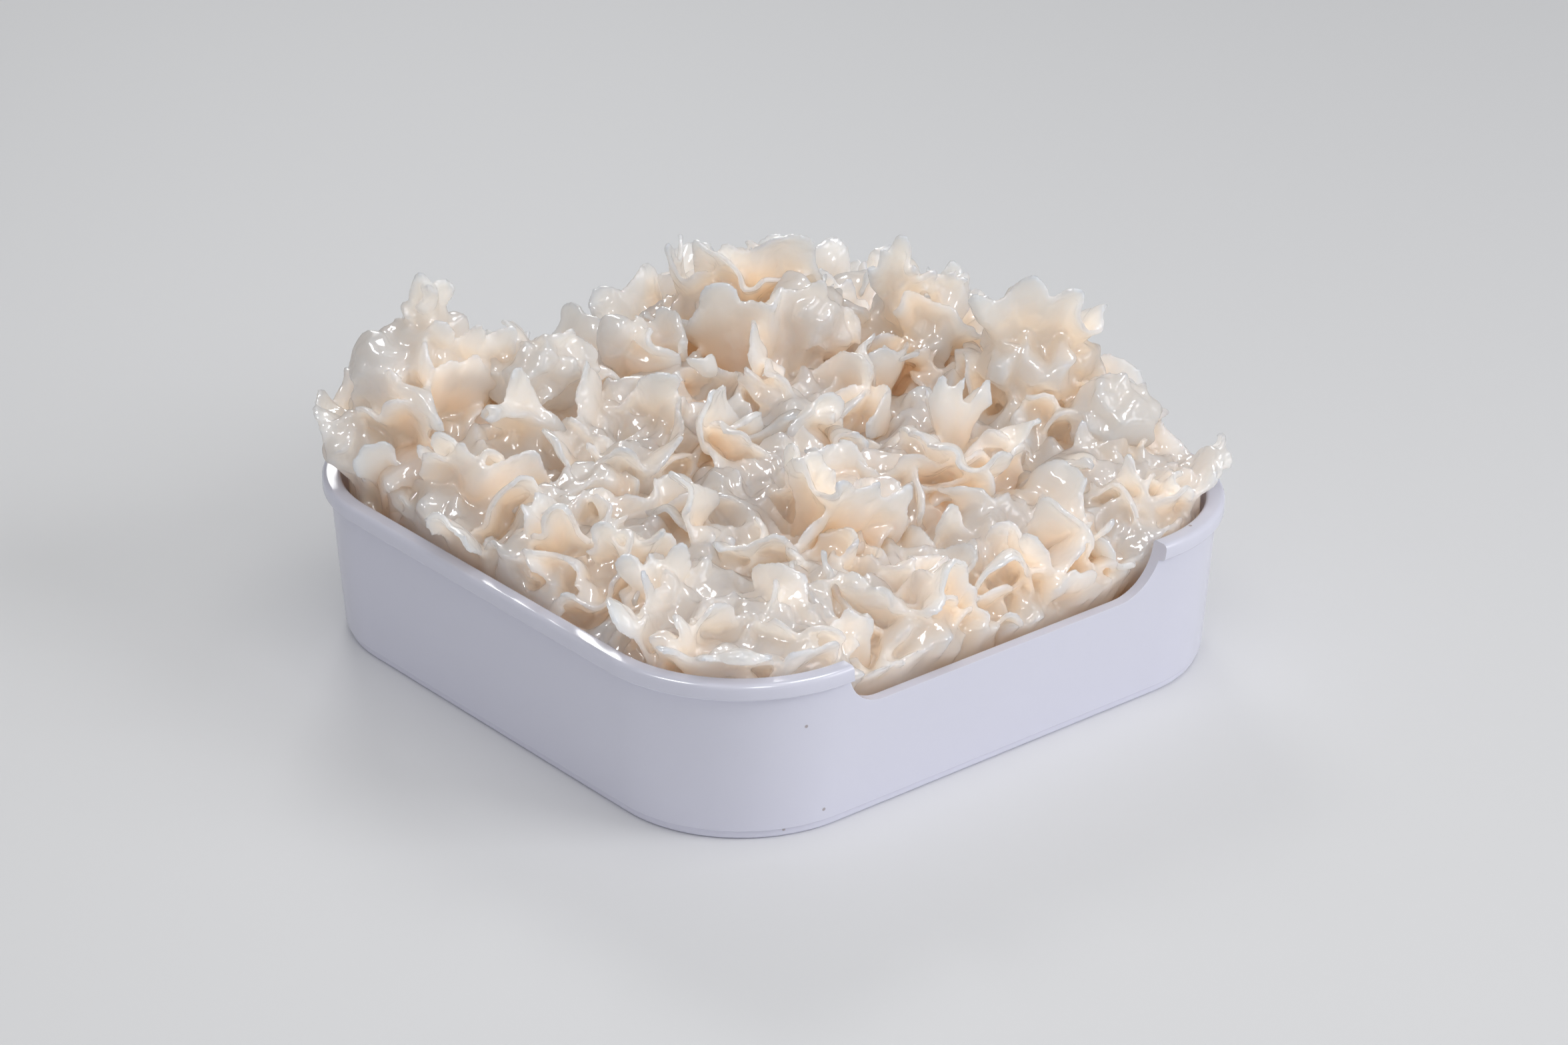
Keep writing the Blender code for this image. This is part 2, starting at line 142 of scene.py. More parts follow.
# Leading fronds that give the heap its outline:
# floret, tip x, y, z, length, half fan angle in degrees, facing in degrees
LOBES = (
    ("left_corner", -52.0, 57.0, 81.0, 20.0, 22.0, -40.0),
    ("left_corner", -58.0, 46.0, 68.0, 30.0, 64.0, -60.0),
    ("left_corner", -45.0, 46.0, 71.0, 30.0, 58.0, -20.0),
    ("left_corner", -69.0, 49.0, 60.0, 26.0, 60.0, -80.0),
    ("back_left", -34.0, 38.0, 69.0, 24.0, 55.0, -50.0),
    ("left_side", -77.0, 50.0, 51.0, 20.0, 45.0, -80.0),
    ("left_side", -66.0, 28.0, 58.0, 22.0, 50.0, -60.0),
    ("front_left", -68.0, -6.0, 54.0, 22.0, 50.0, -70.0),
    ("front_left", -58.0, -26.0, 54.0, 24.0, 50.0, -30.0),
    ("back", 12.0, 42.0, 75.0, 30.0, 62.0, -60.0),
    ("back", 28.0, 25.0, 80.0, 32.0, 62.0, -25.0),
    ("back", 20.0, 31.0, 77.0, 30.0, 58.0, -45.0),
    ("inner_back", 10.0, 26.0, 71.0, 30.0, 60.0, -55.0),
    ("inner_back", 24.0, 17.0, 72.0, 30.0, 60.0, -25.0),
    ("back_right", 44.0, 7.0, 79.0, 25.0, 34.0, -40.0),
    ("back_right", 55.0, 1.0, 73.0, 16.0, 34.0, -20.0),
    ("back_right", 49.0, -1.0, 68.0, 27.0, 58.0, -35.0),
    ("right_side", 55.0, -27.0, 78.0, 32.0, 66.0, -38.0),
    ("right_side", 64.0, -45.0, 58.0, 20.0, 50.0, -30.0),
    ("right_corner", 80.0, -67.0, 45.0, 26.0, 30.0, 10.0),
    ("right_corner", 50.0, -66.0, 49.0, 25.0, 50.0, -35.0),
    ("right_corner", 66.0, -70.0, 44.0, 22.0, 45.0, -10.0),
    ("front", -30.0, -81.0, 31.0, 20.0, 45.0, -60.0),
    ("front", -8.0, -70.0, 42.0, 31.0, 60.0, -40.0),
    ("front", -26.0, -64.0, 46.0, 26.0, 48.0, -75.0),
    ("front_right", 34.0, -70.0, 43.0, 30.0, 58.0, -30.0),
    ("front_right", 12.0, -68.0, 39.0, 24.0, 45.0, -60.0),
    ("inner_front", -12.0, -46.0, 58.0, 32.0, 64.0, -40.0),
    ("inner_front", -18.0, -38.0, 61.0, 22.0, 45.0, -70.0),
    ("inner_right", 22.0, -44.0, 59.0, 32.0, 62.0, -45.0),
    ("inner_right", 32.0, -30.0, 62.0, 24.0, 48.0, -15.0),
    ("near_corner", -64.0, -34.0, 52.0, 22.0, 55.0, -50.0),
    ("near_corner", -48.0, -66.0, 46.0, 25.0, 52.0, -60.0),
    ("near_corner", -68.0, -58.0, 45.0, 22.0, 50.0, -90.0),
)

# Crumpled knobs of flesh that stand out of the mass:
# floret, middle x, y, z, half sizes across the near corner's view, along it and up
KNOBS = (
    ("left_corner", -57.0, 58.0, 52.0, 12.0, 10.0, 11.0),
    ("left_corner", -53.0, 57.0, 64.0, 9.0, 8.0, 9.0),
    ("left_corner", -52.0, 56.0, 70.0, 4.8, 4.8, 10.0),
    ("left_corner", -63.0, 58.0, 64.0, 7.0, 7.0, 6.0),
    ("left_corner", -72.0, 58.0, 46.0, 7.0, 9.0, 7.0),
    ("back_left", -34.0, 43.0, 60.0, 12.0, 9.0, 8.0),
    ("left_corner", -41.0, 50.0, 60.0, 8.0, 8.0, 7.0),
    ("back_left", -9.0, 43.0, 58.0, 5.0, 5.0, 8.0),
    ("back", 20.0, 37.0, 57.0, 13.0, 9.0, 11.0),
    ("back", 13.0, 44.0, 60.0, 6.0, 6.0, 7.0),
    ("inner_back", 28.0, 19.0, 63.0, 9.0, 8.0, 9.0),
    ("back_right", 46.0, 9.0, 68.0, 5.5, 5.5, 8.0),
    ("back_right", 54.0, 2.0, 66.0, 5.0, 5.0, 6.0),
    ("back_right", 49.0, 9.0, 56.0, 9.0, 8.0, 9.0),
    ("right_side", 58.0, -21.0, 64.0, 9.0, 6.0, 9.0),
    ("right_side", 57.0, -24.0, 56.0, 11.0, 8.0, 9.0),
    ("right_side", 62.0, -44.0, 50.0, 9.0, 8.0, 7.0),
)
KNOB_TURN = -39.6


def soft_positive(value, softness=PRESS_SOFTNESS):
    """Zero below zero, the value itself well above it, smooth between."""
    return 0.5 * (value + np.sqrt(value * value + softness * softness)) - 0.02


def smooth_step(low, high, value):
    """Zero at low, one at high, smooth between."""
    t = np.clip((value - low) / (high - low), 0.0, 1.0)
    return t * t * (3.0 - 2.0 * t)


def inner_half(z):
    """Half width of the tray's hollow at a height."""
    share = np.clip((z - FLOOR_TOP) / (TRAY_HEIGHT - FLOOR_TOP), 0.0, 1.0)
    return INNER_HALF_BOTTOM + (INNER_HALF_TOP - INNER_HALF_BOTTOM) * share


def cut_height(x, y, right, slope):
    """Height of the rim, cut down at the front from the notch's left end to a right end."""
    along = smooth_step(NOTCH_LEFT, NOTCH_LEFT + NOTCH_SLOPE, x)
    along = along * (1.0 - smooth_step(right - slope, right, x))
    front = smooth_step(-50.0, -60.0, y)
    return TRAY_HEIGHT - (TRAY_HEIGHT - NOTCH_BOTTOM) * along * front


def rim_height(x, y):
    """Height that holds the flesh in at the wall, lower where it spills through the notch."""
    return cut_height(x, y, SPILL_RIGHT, NOTCH_SLOPE)


def wall_top(x, y):
    """Height of the tray's wall at its nearest point, lower all along the notch."""
    return cut_height(x, y, NOTCH_RIGHT, 8.0)


def wall_distance(points, half):
    """Signed distance outside a rounded square, with its direction."""
    sign = np.sign(points[:, :2])
    q = np.abs(points[:, :2]) - CORNER_CENTRE
    outside = np.maximum(q, 0.0)
    length = np.hypot(outside[:, 0], outside[:, 1])
    distance = length + np.minimum(np.maximum(q[:, 0], q[:, 1]), 0.0) - (half - CORNER_CENTRE)
    nearest_x = q[:, 0] > q[:, 1]
    axis = np.stack([nearest_x, ~nearest_x], axis=1).astype(float)
    corner = outside / np.maximum(length, 1e-9)[:, None]
    direction = np.where((length > 1e-6)[:, None], corner, axis) * sign
    return distance, direction


def middle_height(top):
    """Height of the middle of a floret."""
    return FLOOR_TOP + MIDDLE_SHARE * (top - FLOOR_TOP)


def cell_planes(index):
    """Planes half way to each neighbouring floret: a point and a normal."""
    _, x, y, top = FLORETS[index]
    here = np.array([x, y, middle_height(top)])
    planes = []
    for other, (_, ox, oy, other_top) in enumerate(FLORETS):
        away = np.array([ox, oy, middle_height(other_top)]) - here
        if other != index and np.linalg.norm(away) < NEIGHBOUR_RANGE:
            middle = here + 0.5 * away
            away[2] *= NEIGHBOUR_LEAN
            planes.append((middle, away / np.linalg.norm(away)))
    return planes


def press(points, index, overlap=NEIGHBOUR_OVERLAP, margin=WALL_MARGIN):
    """Squeeze a floret's flesh into its room in the heap and in the tray."""
    p = points.copy()
    for _ in range(2):
        for middle, normal in cell_planes(index):
            over = (p - middle) @ normal - overlap
            p -= soft_positive(over)[:, None] * normal
        p[:, 2] = np.maximum(p[:, 2], FLOOR_TOP + margin)
        distance, direction = wall_distance(p, inner_half(p[:, 2]))
        rim = rim_height(p[:, 0], p[:, 1])
        hold = 1.0 - smooth_step(rim + 1.0, rim + 7.0, p[:, 2])
        ledge = wall_top(p[:, 0], p[:, 1])
        lean = LEDGE_LEAN * smooth_step(ledge + 1.0, ledge + 3.0, p[:, 2]) * (ledge < rim - 1.0)
        p[:, :2] -= direction * (soft_positive(distance + margin - lean) * hold)[:, None]
        distance, direction = wall_distance(p, OUTER_LIMIT)
        p[:, :2] -= direction * soft_positive(distance + margin, 1.5)[:, None]
    return p


def canopy(x, y):
    """Height of the heap's general surface."""
    total = 0.0
    weights = 0.0
    for _, fx, fy, top in FLORETS:
        weight = np.exp(-((x - fx) ** 2 + (y - fy) ** 2) / (2.0 * FLORET_SPREAD ** 2)) + 1e-12
        total = total + weight * top
        weights = weights + weight
    return total / weights


def mass_height(x, y):
    """Top of the fleshy mass under the free fronds, lower towards the walls."""
    flat = np.stack([np.ravel(x), np.ravel(y)], axis=1)
    distance, _ = wall_distance(flat, INNER_HALF_TOP)
    slope = 1.0 - EDGE_DROP * smooth_step(-22.0, -1.0, distance.reshape(np.shape(x)))
    return FLOOR_TOP + (BASE_SHARE * canopy(x, y) - FLOOR_TOP) * slope


def near_tip(value):
    """A tip's place along an axis, kept inside the tray."""
    return max(-TIP_LIMIT, min(TIP_LIMIT, value))


def rooted(base, tip, length):
    """Root of a frond of a length that grows from a floret's base to its tip."""
    return base + (tip - base) * (1.0 - min(0.8, length / np.linalg.norm(tip - base)))


def growth_way(tilt, turn):
    """Unit direction tilted away from upright, towards a turn."""
    return np.array([math.sin(tilt) * math.cos(turn), math.sin(tilt) * math.sin(turn), math.cos(tilt)])


def drawn_frond(rng, tip, root, facing, fan, swing, cone, curl, ruffle):
    """One frond with its shape drawn from ranges, the fan in degrees each way."""
    return {
        "tip": tip,
        "root": root,
        "half_fan": math.radians(rng.uniform(*fan)),
        "facing": facing + rng.uniform(-swing, swing),
        "cone": rng.uniform(*cone),
        "curl": rng.uniform(*curl),
        "ruffle": rng.uniform(*ruffle),
        "seed": rng.randrange(10 ** 6),
    }


def frond_specs(index):
    """Root, tip and shape of every main frond of one floret."""
    name, fx, fy, _ = FLORETS[index]
    rng = random.Random(SEED + 101 * index)
    base = np.array([fx, fy, FLOOR_TOP + ROOT_HEIGHT])
    specs = []
    turn = rng.uniform(0.0, 2.0 * math.pi)
    for number in range(FRONDS_PER_FLORET):
        reach = FROND_REACH * math.sqrt((number + 0.4) / FRONDS_PER_FLORET)
        angle = turn + GOLDEN_ANGLE * number
        tx = near_tip(fx + reach * math.cos(angle))
        ty = near_tip(fy + reach * math.sin(angle))
        tip = np.array([tx, ty, canopy(tx, ty) + rng.uniform(-5.0, 1.5)])
        root = rooted(base, tip, rng.uniform(31.0, 45.0))
        specs.append(drawn_frond(rng, tip, root, angle, fan=(55.0, 95.0), swing=0.9,
                                 cone=(0.35, 1.0), curl=(0.0, 1.4), ruffle=(0.07, 0.13)))
    for owner, tx, ty, tz, length, half_fan, facing in LOBES:
        if owner == name:
            tip = np.array([tx, ty, tz])
            specs.append({
                "tip": tip,
                "root": rooted(base, tip, length),
                "half_fan": math.radians(half_fan),
                "facing": math.radians(facing - 90.0),
                "cone": rng.uniform(0.25, 0.6),
                "curl": rng.uniform(0.0, 0.6),
                "ruffle": rng.uniform(0.08, 0.13),
                "calm": LOBE_CALM,
                "seed": rng.randrange(10 ** 6),
            })
    return specs


def frill_specs(index):
    """Smaller fronds that fill the room between the main ones."""
    _, fx, fy, _ = FLORETS[index]
    rng = random.Random(SEED + 5003 + index)
    specs = []
    for _ in range(FRILLS_PER_FLORET):
        tx = near_tip(fx + rng.uniform(-FRILL_REACH, FRILL_REACH))
        ty = near_tip(fy + rng.uniform(-FRILL_REACH, FRILL_REACH))
        tip = np.array([tx, ty, canopy(tx, ty) + rng.uniform(-7.0, 1.0)])
        length = rng.uniform(15.0, 24.0)
        tilt = math.radians(rng.uniform(20.0, 105.0))
        turn = math.atan2(ty, tx) + rng.uniform(-1.1, 1.1)
        root = tip - growth_way(tilt, turn) * length
        specs.append(drawn_frond(rng, tip, root, turn, fan=(50.0, 100.0), swing=1.2,
                                 cone=(0.3, 1.1), curl=(-0.3, 1.2), ruffle=(0.10, 0.20)))
    return specs


def nearest_floret(x, y):
    """Index of the floret whose middle is nearest to a place."""
    return min(range(len(FLORETS)), key=lambda k: (FLORETS[k][1] - x) ** 2 + (FLORETS[k][2] - y) ** 2)


def wall_frill_specs():
    """Fronds that lean on the tray's wall all round, listed for each floret."""
    rng = random.Random(SEED + 71)
    specs = [[] for _ in FLORETS]
    run = np.array(rounded_square(INNER_HALF_TOP - 5.0, 0.0, 12))[:, :2]
    run = np.concatenate([run, run[:1]])
    along = np.concatenate([[0.0], np.cumsum(np.linalg.norm(np.diff(run, axis=0), axis=1))])
    count = int(along[-1] / WALL_FRILL_SPACING)
    for number in range(count):
        for level in (0, 1):
            place = (number + 0.5 * level + rng.uniform(-0.3, 0.3)) * along[-1] / count
            x = float(np.interp(place % along[-1], along, run[:, 0]))
            y = float(np.interp(place % along[-1], along, run[:, 1]))
            inward = rng.uniform(-2.0, 3.0) + 8.0 * level
            outward = math.atan2(y, x)
            x -= inward * math.cos(outward)
            y -= inward * math.sin(outward)
            tip = np.array([x, y, float(wall_top(x, y)) + rng.uniform(-4.0, 4.0) + 6.0 * level])
            length = rng.uniform(13.0, 20.0)
            tilt = rng.uniform(0.1, 0.8)
            turn = outward + rng.uniform(-0.8, 0.8)
            root = tip - growth_way(tilt, turn) * length
            frill = drawn_frond(rng, tip, root, turn, fan=(60.0, 110.0), swing=1.0,
                                cone=(0.3, 1.0), curl=(0.0, 1.3), ruffle=(0.14, 0.24))
            specs[nearest_floret(x, y)].append(frill)
    return specs


def unit_length(grid):
    """A grid of vectors, each scaled to length one."""
    return grid / np.maximum(np.linalg.norm(grid, axis=2, keepdims=True), 1e-9)


def grid_normals(grid):
    """Unit normals of a grid of points."""
    return unit_length(np.cross(np.gradient(grid, axis=1), np.gradient(grid, axis=0)))


def grid_sideways(grid):
    """Unit directions along the rows of a grid of points."""
    return unit_length(np.gradient(grid, axis=1))


def ruffled(grid, normal, sideways, height, phase, sway):
    """A sheet moved in waves along its normals, and sideways by a share of that."""
    grid = grid + normal * (height * np.sin(phase))[:, :, None]
    return grid + sideways * (sway * height * np.cos(phase))[:, :, None]


def frond_sheet(spec, u, v):
    """Middle surface of one frond as a grid of points, rows along v."""
    rng = random.Random(spec["seed"])
    axis = spec["tip"] - spec["root"]
    length = np.linalg.norm(axis)
    u = u[None, :]
    v = v[:, None]
    edge = 1.0 - 0.3 * np.abs(u) ** 4
    for waves in (2, 3, 5):
        edge = edge + rng.uniform(0.02, 0.07) * np.sin(math.pi * waves * u + rng.uniform(0.0, 6.28))
    swing = u * spec["half_fan"] / max(math.sin(spec["cone"]), 0.25) * 0.6
    roll = rng.uniform(-0.2, 0.9) + 0.5 * np.sin(rng.uniform(1.5, 3.0) * u + rng.uniform(0.0, 6.28))
    cone = spec["cone"] + spec["curl"] * v ** 2 + roll * v ** 6
    ray = np.stack([np.sin(cone) * np.sin(swing), -np.sin(cone) * np.cos(swing),
                    np.cos(cone) + 0.0 * swing], axis=2)
    step = np.diff(np.concatenate([np.zeros((1, 1)), v * 0.92 + 0.08], axis=0), axis=0)
    grid = np.cumsum(ray * (step * length * edge)[:, :, None], axis=0)
    lean = spec["cone"]
    turn_back = np.array([[1.0, 0.0, 0.0],
                          [0.0, math.cos(lean), math.sin(lean)],
                          [0.0, -math.sin(lean), math.cos(lean)]])
    grid = grid @ turn_back.T
    normal = grid_normals(grid)
    sideways = grid_sideways(grid)
    for waves, share in ((rng.uniform(1.3, 2.2), 1.0), (rng.uniform(3.0, 4.2), 0.32)):
        phase = math.pi * waves * u + rng.uniform(0.0, 6.28) + rng.uniform(-1.5, 1.5) * v
        height = spec["ruffle"] * share * length * v ** 1.6
        grid = ruffled(grid, normal, sideways, height, phase, 0.5)
    axis = axis / length
    facing = np.array([math.cos(spec["facing"]), math.sin(spec["facing"]), 0.0])
    across = np.cross(axis, facing)
    across = across / max(np.linalg.norm(across), 1e-6)
    front = np.cross(across, axis)
    turned = np.stack([across, -front, axis], axis=0)
    return grid @ turned + spec["root"]


def ribbon_specs(index):
    """Long winding lamellae that stand on the mass."""
    _, fx, fy, _ = FLORETS[index]
    rng = random.Random(SEED + 9001 + index)
    specs = []
    for _ in range(RIBBONS_PER_FLORET):
        specs.append({
            "start": (fx + rng.uniform(-14.0, 14.0), fy + rng.uniform(-14.0, 14.0)),
            "heading": rng.uniform(0.0, 2.0 * math.pi),
            "run": rng.uniform(45.0, 75.0),
            "height": rng.uniform(11.0, 17.0),
            "seed": rng.randrange(10 ** 6),
        })
    return specs


def ribbon_sheet(spec, u, v):
    """Middle surface of one winding lamella, rows along its height."""
    rng = random.Random(spec["seed"])
    half = 0.5 * spec["run"]
    heading = spec["heading"] + rng.uniform(-0.9, 0.9) * u
    for waves, size in ((rng.uniform(0.8, 1.3), 0.9), (rng.uniform(2.0, 3.0), 0.7)):
        heading = heading + size * np.sin(math.pi * waves * u + rng.uniform(0.0, 6.28))
    step = np.gradient(u) * half
    x = spec["start"][0] + np.cumsum(np.cos(heading) * step) - half * np.cos(spec["heading"])
    y = spec["start"][1] + np.cumsum(np.sin(heading) * step) - half * np.sin(spec["heading"])
    x = np.clip(x, -TIP_LIMIT, TIP_LIMIT)
    y = np.clip(y, -TIP_LIMIT, TIP_LIMIT)
    foot = mass_height(x, y) - 5.0
    height = spec["height"] * (1.0 - 0.75 * np.abs(u) ** 5)
    height = height * (1.0 + 0.22 * np.sin(math.pi * rng.uniform(2.0, 3.5) * u + rng.uniform(0.0, 6.28)))
    lean = 0.7 * np.sin(math.pi * rng.uniform(0.7, 1.6) * u + rng.uniform(0.0, 6.28))
    side = np.stack([-np.sin(heading), np.cos(heading), 0.0 * heading], axis=1)
    lift = (height * np.cos(lean))[None, :] * v[:, None]
    shift = (height * np.sin(lean))[None, :] * v[:, None] ** 1.5
    for waves, size in ((rng.uniform(2.5, 4.5), 3.4), (rng.uniform(5.0, 7.5), 1.1)):
        wave = np.sin(math.pi * waves * u + rng.uniform(0.0, 6.28))
        shift = shift + size * v[:, None] ** 1.8 * wave[None, :]
    grid = np.stack([x, y, foot], axis=1)[None, :, :] + side[None, :, :] * shift[:, :, None]
    grid = grid + np.array([0.0, 0.0, 1.0]) * lift[:, :, None]
    return grid


class Waves:
    """Smooth noise made of a few sine waves in random directions."""

    def __init__(self, seed, wavelength, count=7):
        rng = np.random.default_rng(seed)
        turn = rng.normal(size=(count, 3))
        turn /= np.linalg.norm(turn, axis=1, keepdims=True)
        size = rng.uniform(0.7, 1.5, count) * 2.0 * math.pi / wavelength
        self.turn = turn * size[:, None]
        self.phase = rng.uniform(0.0, 2.0 * math.pi, (3, count))

    def vector(self, points):
        """Three noise values at each point."""
        angle = points @ self.turn.T
        parts = [np.sin(angle + phase).sum(axis=-1) for phase in self.phase]
        return np.stack(parts, axis=-1) / math.sqrt(len(self.turn))

    def value(self, points):
        """One noise value at each point."""
        angle = points @ self.turn.T + self.phase[0]
        return np.sin(angle).sum(axis=-1) / math.sqrt(len(self.turn))


WARP = Waves(SEED + 1, 22.0)
CRUMPLE = Waves(SEED + 2, 9.0)
WRINKLE = Waves(SEED + 3, 3.2, 9)
CRINKLE = Waves(SEED + 7, 5.0, 9)
FOLD_BEND = Waves(SEED + 4, 24.0)
FOLD_BROAD = Waves(SEED + 5, 34.0)
FOLD_FINE = Waves(SEED + 6, 15.0)
FOLD_SMALL = Waves(SEED + 8, 8.0, 9)
PATCH = Waves(SEED + 9, 16.0)


def edge_ruffles(grid, u, v, seed, length):
    """Finer ruffles that grow towards the free edge."""
    rng = random.Random(seed + 1)
    u = u[None, :]
    v = v[:, None]
    normal = grid_normals(grid)
    sideways = grid_sideways(grid)
    for waves, size in ((rng.uniform(4.5, 6.5), 0.014), (rng.uniform(8.0, 11.0), 0.005)):
        phase = math.pi * waves * u + rng.uniform(0.0, 6.28)
        phase = phase + 0.8 * np.sin(3.0 * u + rng.uniform(0.0, 6.28))
        height = size * length * v ** 3 * (0.6 + 0.6 * np.sin(2.3 * u + rng.uniform(0.0, 6.28)))
        grid = ruffled(grid, normal, sideways, height, phase, 0.6)
    return grid


def spread(count, edge):
    """Values from -1 to 1, packed closer at both ends."""
    inner = np.linspace(-1.0 + edge, 1.0 - edge, count - 4)
    return np.concatenate([[-1.0, -1.0 + 0.3 * edge], inner, [1.0 - 0.3 * edge, 1.0]])


def spread_rows(count, edge):
    """Values from 0 to 1, packed closer at the free edge."""
    inner = np.linspace(0.0, 1.0 - edge, count - 2) ** 0.85
    inner = inner / inner[-1] * (1.0 - edge)
    return np.concatenate([inner, [1.0 - 0.3 * edge, 1.0]])


def sheet_faces(rows, columns):
    """Faces of a closed sheet, whose back is joined to the front along three edges."""
    size = rows * columns
    on_rim = np.zeros((rows, columns), dtype=bool)
    on_rim[-1, :] = True
    on_rim[:, 0] = True
    on_rim[:, -1] = True
    on_rim[0, :] = False
    back_index = np.where(on_rim.ravel(), np.arange(size), size + np.arange(size))
    row, column = np.meshgrid(np.arange(rows - 1), np.arange(columns - 1), indexing="ij")
    a = (row * columns + column).ravel()
    quad = np.stack([a, a + 1, a + 1 + columns, a + columns], axis=1)
    back_quad = back_index[quad][:, ::-1]
    foot = np.arange(columns - 1)
    foot_quad = np.stack([foot + 1, foot, back_index[foot], back_index[foot + 1]], axis=1)
    return np.concatenate([quad, back_quad, foot_quad])


def frond_piece(spec, index, columns, rows):
    """Closed thin sheet with a rounded rim: points and faces."""
    if "run" in spec:
        length = spec["height"]
        across = 0.5 * spec["run"]
    else:
        length = float(np.linalg.norm(spec["tip"] - spec["root"]))
        across = length
    rim = 0.5 / length
    u = spread(columns, 0.5 / across * 1.6)
    v = spread_rows(rows, rim)
    if "run" in spec:
        grid = ribbon_sheet(spec, u, v)
    else:
        grid = frond_sheet(spec, u, v)
        grid = edge_ruffles(grid, u, v, spec["seed"], length)
    flat = grid.reshape(-1, 3)
    share = np.repeat(v, columns) * spec.get("calm", 1.0)
    for waves, size in ((WARP, 1.6), (CRUMPLE, 0.7), (CRINKLE, 0.25)):
        flat = flat + waves.vector(flat) * (size * share)[:, None]
    flat = press(flat, index)
    grid = flat.reshape(rows, columns, 3)
    normal = grid_normals(grid)
    thick = ROOT_THICKNESS + (EDGE_THICKNESS - ROOT_THICKNESS) * v[:, None] ** 0.7
    thick = thick * (1.0 + 0.12 * WRINKLE.value(grid))
    from_edge = np.minimum((1.0 - v)[:, None] / rim, ((1.0 - np.abs(u)) * across / 0.8)[None, :])
    round_off = np.sqrt(1.0 - (1.0 - np.clip(from_edge, 0.0, 1.0)) ** 2)
    round_off[0, :] = 1.0
    bead = 1.0 + 0.18 * np.exp(-((from_edge - 1.3) / 1.2) ** 2)
    wrinkle = 0.10 * WRINKLE.value(grid)
    offset = normal * (0.5 * thick * bead * round_off)[:, :, None]
    lift = normal * (wrinkle * round_off)[:, :, None]
    front = (grid + offset + lift).reshape(-1, 3)
    back = (grid - offset + lift).reshape(-1, 3)
    return np.concatenate([front, back]), sheet_faces(rows, columns)


def folds(points):
    """Height of crumpled folds: round hollows between narrow crests."""
    bent = points + FOLD_BEND.vector(points) * 3.0
    height = 0.0
    for waves, size in ((FOLD_BROAD, 3.6), (FOLD_FINE, 2.8), (FOLD_SMALL, 1.0)):
        height = height + size * np.clip(1.0 - np.abs(waves.value(bent)), -0.6, 1.0)
    return height


def crumple(points, normals, share):
    """Crumpled, partly overhanging flesh on a smooth surface."""
    lift = folds(points)
    out = points + normals * (lift * share)[:, None]
    for waves, size in ((FOLD_BEND, 1.8), (CRUMPLE, 0.7), (CRINKLE, 0.4)):
        out = out + waves.vector(out) * (size * share)[:, None]
    return out


def cell_reach(index, around):
    """Distance from a floret's middle to the edge of its room, by direction."""
    _, fx, fy, _ = FLORETS[index]
    here = np.array([fx, fy])
    way = np.stack([np.cos(around), np.sin(around)], axis=1)
    reach = np.full(len(around), 60.0)
    for middle, normal in cell_planes(index):
        toward = way @ normal[:2]
        room = (middle[:2] - here) @ normal[:2] + 1.0
        reach = np.where(toward > 0.05, np.minimum(reach, room / np.maximum(toward, 0.05)), reach)
    for _ in range(12):
        distance, _ = wall_distance(here + way * reach[:, None], INNER_HALF_TOP - 1.2)
        reach = reach - np.maximum(distance, 0.0)
    kernel = np.hanning(9) / np.hanning(9).sum()
    wrapped = np.concatenate([reach[-8:], reach, reach[:8]])
    return np.convolve(wrapped, kernel, mode="same")[8:-8]


def ring_faces(rings, sectors, clockwise=False):
    """Faces of a closed body of rings of points, with their turn as seen from the last ring."""
    row, sector = np.meshgrid(np.arange(rings - 1), np.arange(sectors), indexing="ij")
    a = (row * sectors + sector).ravel()
    b = (row * sectors + (sector + 1) % sectors).ravel()
    faces = [tuple(face) for face in np.stack([a, b, b + sectors, a + sectors], axis=1)]
    faces.append(tuple(reversed(range(sectors))))
    faces.append(tuple(range((rings - 1) * sectors, rings * sectors)))
    if clockwise:
        faces = [face[::-1] for face in faces]
    return faces


def mass_piece(index):
    """Crumpled fleshy mass of a floret, between its free fronds."""
    _, fx, fy, _ = FLORETS[index]
    around = np.linspace(0.0, 2.0 * math.pi, MASS_SECTORS, endpoint=False)
    reach = cell_reach(index, around)
    share = np.concatenate([[0.02], np.ones(MASS_SIDE_RINGS), np.linspace(1.0, 0.02, MASS_RINGS)[1:]])
    level = np.concatenate([[0.0], np.linspace(0.0, 1.0, MASS_SIDE_RINGS), np.ones(MASS_RINGS - 1)])
    shrink = 1.0 - 0.06 * (1.0 - level)
    x = fx + (share * shrink)[:, None] * (reach * np.cos(around))[None, :]
    y = fy + (share * shrink)[:, None] * (reach * np.sin(around))[None, :]
    z = FLOOR_TOP + 0.6 + (mass_height(x, y) - FLOOR_TOP) * level[:, None]
    points = np.stack([x, y, z], axis=2).reshape(-1, 3)
    outward = np.stack([np.cos(around), np.sin(around), 0.0 * around], axis=1)[None, :, :]
    tilt = smooth_step(0.80, 1.0, share)[:, None, None] * (level > 0.0)[:, None, None]
    normals = (1.0 - 0.7 * tilt) * np.array([0.0, 0.0, 1.0]) + 0.7 * tilt * outward
    rise = np.repeat(smooth_step(0.0, 0.5, level), MASS_SECTORS)
    points = crumple(points, normals.reshape(-1, 3), rise)
    points = press(points, index, MASS_OVERLAP, MASS_MARGIN)
    return points, ring_faces(len(share), MASS_SECTORS)


